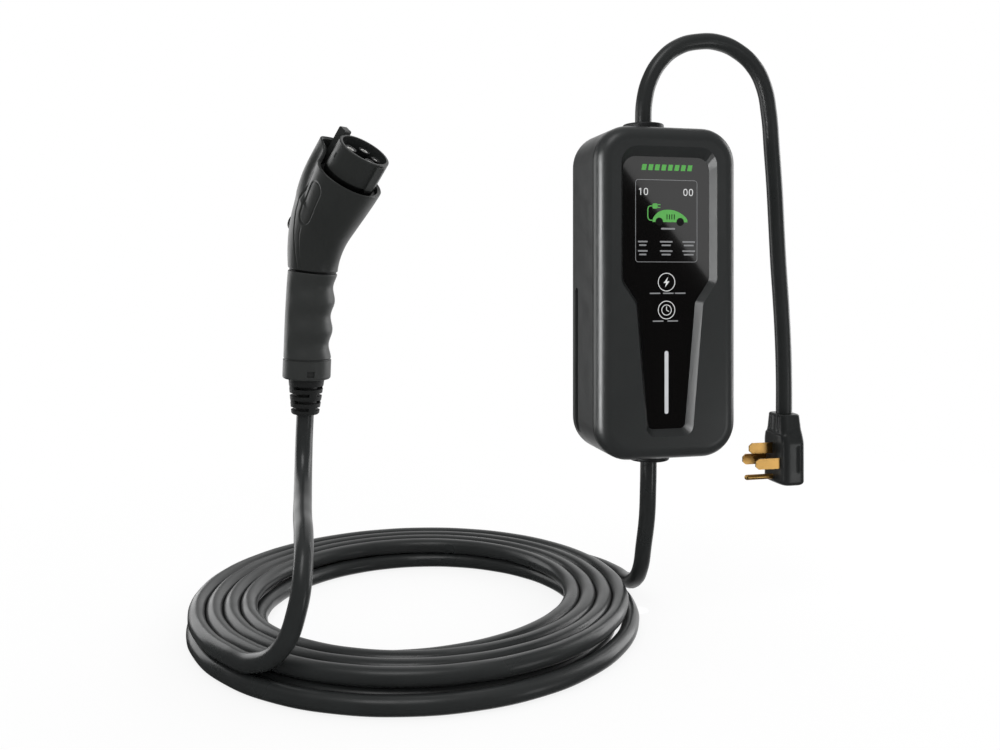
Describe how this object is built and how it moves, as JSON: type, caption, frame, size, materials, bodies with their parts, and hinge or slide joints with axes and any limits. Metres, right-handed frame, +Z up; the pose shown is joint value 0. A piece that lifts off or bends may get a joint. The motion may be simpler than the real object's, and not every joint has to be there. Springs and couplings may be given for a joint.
{
  "type": "portable ev charger",
  "caption": "Control box with a sunken touch panel, a mains lead with a pronged plug, and a coiled charging cable that ends in a vehicle connector with a thumb-released latch.",
  "frame": {"origin": "middle of the control box's back, halfway between the two keyholes it hangs on", "axes": "+Y out of the back towards the wall, +Z up, touch panel facing -Y"},
  "size_m": [0.5362, 0.3925, 0.5212],
  "materials": {
    "housing": "moulded, fine grain",
    "seal": "matt",
    "panel": "polished black",
    "display": "dark",
    "light": "frosted white",
    "board": "solder resist",
    "ribbon": "flat cable",
    "component": "moulded",
    "winding": "taped winding",
    "capacitor": "sleeved can",
    "fuse": "ceramic",
    "terminal": "moulded",
    "wire": "insulated conductor",
    "gland": "moulded",
    "steel": "plain",
    "contact": "plain",
    "connector": "moulded, fine grain",
    "grip": "soft touch",
    "boot": "matt",
    "insert": "moulded",
    "button": "fine grain",
    "plug": "moulded on",
    "prong": "polished",
    "cable": "satin jacket"
  },
  "bodies": {
    "charger": {"rear_housing": "housing", "front_housing": "housing", "housing_gasket": "seal", "touch_panel": "panel", "display_module": "display", "status_light": "light", "display_board": "board", "main_board": "board", "display_ribbon": "ribbon", "power_relays": "component", "leakage_sensor": "component", "buzzer": "component", "proximity_switch": "component", "supply_transformer": "winding", "supply_capacitors": "capacitor", "fuse_holder": "fuse", "mains_terminal_block": "terminal", "output_terminal_block": "terminal", "mains_wires": "wire", "output_wires": "wire", "connector_wires": "wire", "mains_gland": "gland", "output_gland": "gland", "mains_gland_nut": "gland", "output_gland_nut": "gland", "housing_screws": "steel", "board_screws": "steel", "latch_pin": "steel", "latch_spring": "steel", "cord_clamp": "steel", "touch_springs": "contact", "power_contacts": "contact", "earth_contact": "contact", "signal_contacts": "contact", "connector_head": "connector", "end_collar": "connector", "coupler_barrel": "connector", "grip_sleeve": "grip", "strain_relief": "boot", "contact_insert": "insert", "plug_body": "plug", "live_prongs": "prong", "neutral_prong": "prong", "earth_prong": "prong", "mains_lead": "cable", "cable_drop": "cable", "cable_coil": "cable", "cable_riser": "cable"},
    "button": {"release_button": "button"},
    "latch": {"latch_lever": "connector"}
  },
  "joints": [
    {"name": "button_press", "type": "slide", "parent": "charger", "child": "button", "axis": [0.5953, -0.6729, -0.4391], "range_m": [0, 0.004], "stiffness_N_per_m": 600, "springref_m": -0.005},
    {"name": "latch_swing", "type": "hinge", "parent": "charger", "child": "latch", "pos_m": [-0.28162, -0.00726, 0.10117], "axis": [-0.749, -0.6626, 0], "range_deg": [0, 4.5], "stiffness_Nm_per_rad": 0.5, "springref_deg": -5.73, "deforming": ["latch_spring"]}
  ],
  "couplings": [
    {"joint": "latch_swing", "follows": "button_press", "rad_per_m": 19.5}
  ]
}
